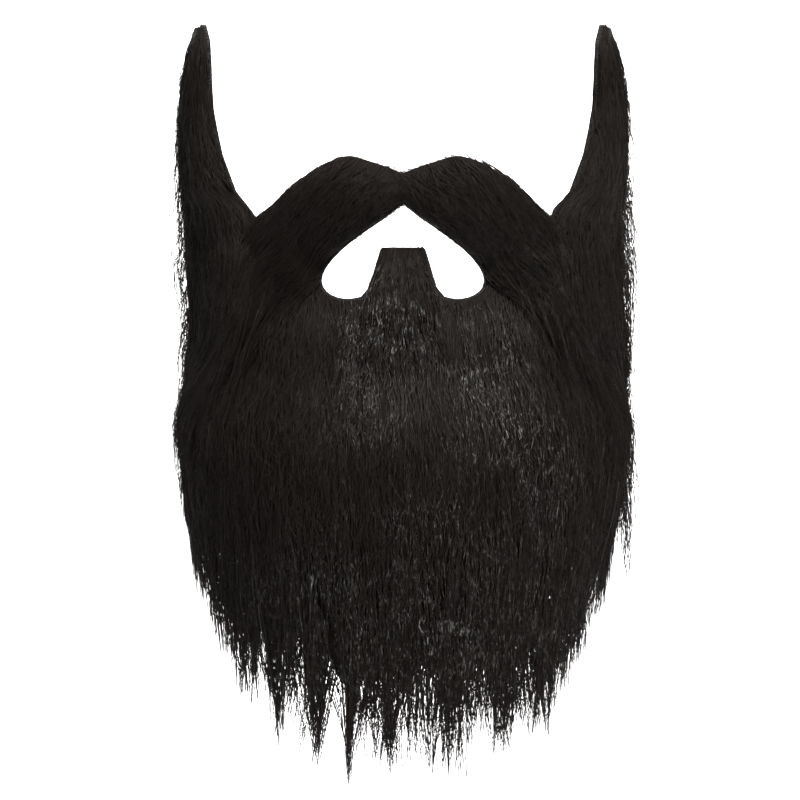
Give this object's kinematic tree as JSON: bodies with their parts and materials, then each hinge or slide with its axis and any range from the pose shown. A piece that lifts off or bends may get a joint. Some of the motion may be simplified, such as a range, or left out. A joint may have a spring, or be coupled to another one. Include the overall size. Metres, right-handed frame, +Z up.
{
  "type": "fake beard with moustache",
  "caption": "Long full false beard worn on the face: straight black fur on a shaped cloth backing, with sideburns, a moustache, a mouth hole and a tab under the lower lip.",
  "frame": {"origin": "middle of the upper lip, on the side of the backing that lies on the skin", "axes": "+Z up along the face, -Y out of the face towards the viewer, +X to the viewer's right"},
  "size_m": [0.174, 0.1143, 0.2735],
  "materials": {
    "cloth": "matt black knitted cloth",
    "fur": "black synthetic fur with fine glossy strands"
  },
  "bodies": {
    "root": {"backing": "cloth", "chin_beard": "fur", "moustache": "fur", "soul_patch": "fur", "sideburn_left": "fur", "sideburn_right": "fur"}
  },
  "joints": []
}
